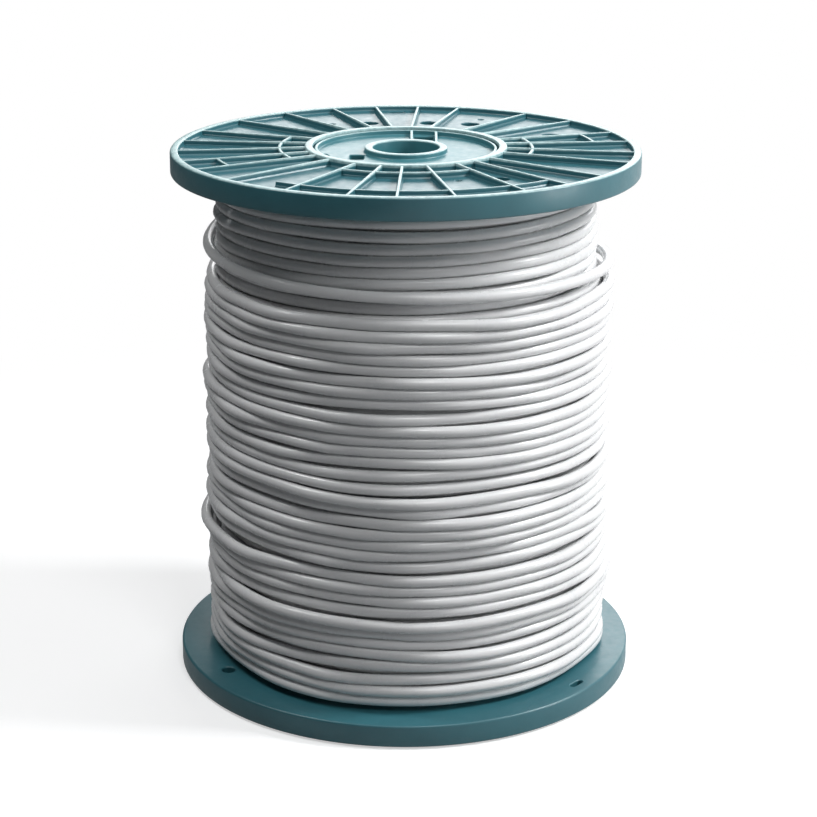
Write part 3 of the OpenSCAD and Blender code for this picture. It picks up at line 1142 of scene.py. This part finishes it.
@dataclass
class Studio:
    """Camera, pale floor and soft lamps."""

    camera_place: Triple = (0.002, -1.341683, 0.604004)
    pitch: float = 15.947
    roll: float = 0.201
    lens: float = 97.41
    shift_y: float = -0.10
    floor_half: float = 9.0
    floor_colour: str = "d9dadb"
    bounce_colour: str = "7c7e80"
    lit: float = 0.5
    # Share of the white room that mirrored rays show, far left and far right
    mirrored: Point = (0.05, 0.95)
    mirrored_span: float = 0.35
    # Distances from which and beyond which the floor is white
    white_from: Point = (0.2, 0.75)
    # The sky's strength, left and right
    sky: Point = (0.03, 0.2)
    lamps: tuple[Lamp, ...] = (
        Lamp("key_right", (1.5, -0.1, 1.5), (0.45, 0.45), 32.0),
        Lamp("right_low", (1.5, -0.4, 0.3), (0.5, 0.5), 5.5),
        Lamp("top_front", (0.3, -1.0, 1.6), (0.4, 0.4), 6.8),
        Lamp("back_low", (0.5, 1.9, 0.95), (1.7, 0.6), 14.0),
        Lamp("strip_left", (-0.75, 0.0, 1.45), (0.08, 0.5), 6.5),
    )

    def build(self) -> None:
        """Sets the studio up."""
        bpy.context.scene.view_settings.view_transform = "Standard"
        self._build_camera()
        self._build_floor()
        self._build_sky()
        for lamp in self.lamps:
            lamp.build()

    def _build_camera(self) -> None:
        """Adds the camera and makes it the scene's."""
        data = bpy.data.cameras.new("camera")
        data.sensor_fit, data.sensor_width = "HORIZONTAL", 36.0
        data.lens, data.shift_y = self.lens, self.shift_y
        data.clip_start, data.clip_end = 0.05, 60.0
        camera = add_object("camera", data)
        turn = Matrix.Rotation(math.radians(90 - self.pitch), 4, "X") @ Matrix.Rotation(math.radians(self.roll), 4, "Z")
        camera.matrix_world = Matrix.Translation(self.camera_place) @ turn
        bpy.context.scene.camera = camera

    def _seen(self, tree: ShaderTree, across: Socket) -> Socket:
        """1 for rays from the camera, and less for mirrored rays and rays through glass, which show it duller.

        Args:
            tree: The tree.
            across: How far right the place is.

        Returns:
            The share.
        """
        ray = add_node(tree.tree, "ShaderNodeLightPath").outputs
        mirrored = tree.maths("MAXIMUM", ray["Is Glossy Ray"], ray["Is Transmission Ray"])
        bright = tree.mapped(across, (-self.mirrored_span, self.mirrored_span), self.mirrored)
        return tree.maths("MAXIMUM", ray["Is Camera Ray"], tree.maths("MULTIPLY", mirrored, bright))

    def _build_floor(self) -> None:
        """Adds the floor, which keeps the spool's shadow near it and is white far from it."""
        corners = self.floor_half * np.array([(-1, -1, 0), (1, -1, 0), (1, 1, 0), (-1, 1, 0)])
        floor = new_object("floor", corners, [[0, 1, 2, 3]])
        material = bpy.data.materials.new("painted_floor")
        tree = ShaderTree(material)
        place = tree.place()
        distance = tree.node("ShaderNodeVectorMath", {"operation": "LENGTH"}, {0: place}, "Value")
        away = tree.mapped(distance, self.white_from, smooth=True)
        seen = self._seen(tree, tree.part(place, "X"))
        tone = tree.mixed(seen, self.bounce_colour, self.floor_colour)
        paint = tree.node("ShaderNodeBsdfDiffuse", inputs={"Color": tone})
        glow = tree.node("ShaderNodeEmission", inputs={"Strength": tree.maths("MULTIPLY", seen, self.lit)})
        lifted = tree.node("ShaderNodeAddShader", inputs={0: paint, 1: glow})
        white = tree.node("ShaderNodeEmission", inputs={"Strength": 1.0})
        share = tree.maths("MULTIPLY", away, seen)
        tree.end(tree.node("ShaderNodeMixShader", inputs={0: share, 1: lifted, 2: white}))
        floor.data.materials.append(material)

    def _build_sky(self) -> None:
        """Adds a pale light from all round, brighter from the right, which is seen as white."""
        world = bpy.data.worlds.new("soft_room")
        bpy.context.scene.world = world
        tree = ShaderTree(world)
        across = tree.part(tree.place("Generated"), "X")
        light = tree.mapped(across, (-1.0, 1.0), self.sky)
        strength = tree.mapped(self._seen(tree, across), (0.0, 1.0), (light, 1.0))
        tree.end(tree.node("ShaderNodeBackground", inputs={"Strength": strength}), "ShaderNodeOutputWorld")


# ---- assembly


@dataclass
class Spool:
    """The whole spool: both flanges and hubs, the tubes between them and the cable."""

    lower_turn: float = 54.3

    def build(self) -> None:
        """Makes every piece."""
        flange_finish = MouldedPolystyrene("moulded_polystyrene_petrol").build()
        # The hub's lighter teal is partly a painted sheen, for the bright gleam on the hub disc
        hub_finish = MouldedPolystyrene("moulded_polystyrene_hub", colour="46848d", cloud="3a7680").build()
        barrel_finish = MouldedPolystyrene("moulded_polystyrene_barrel", colour="2f6570", cloud="285964").build()
        sheath = ExtrudedSheath("extruded_pvc_white").build()
        top = Matrix.Translation((0, 0, UPPER_FACE * MM))
        turned = Matrix.Rotation(math.radians(self.lower_turn), 4, "Z") @ Matrix.Rotation(math.pi, 4, "X")
        bottom = Matrix.Translation((0, 0, LOWER_FACE * MM)) @ turned
        for side, placing in (("top", top), ("bottom", bottom)):
            Flange(f"{side}_flange", Slot.FLANGE, flange_finish, placing).build()
            Hub(f"{side}_hub", Slot.HUB, hub_finish, placing).build()
        dress_tube("barrel", barrel_finish)
        dress_tube("arbor_tube", barrel_finish)
        Winding().build(sheath)


def main() -> None:
    """Builds the scene."""
    logging.basicConfig(level=logging.INFO, format="%(name)s: %(message)s")
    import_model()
    Studio().build()
    Spool().build()


if __name__ == "__main__":
    main()
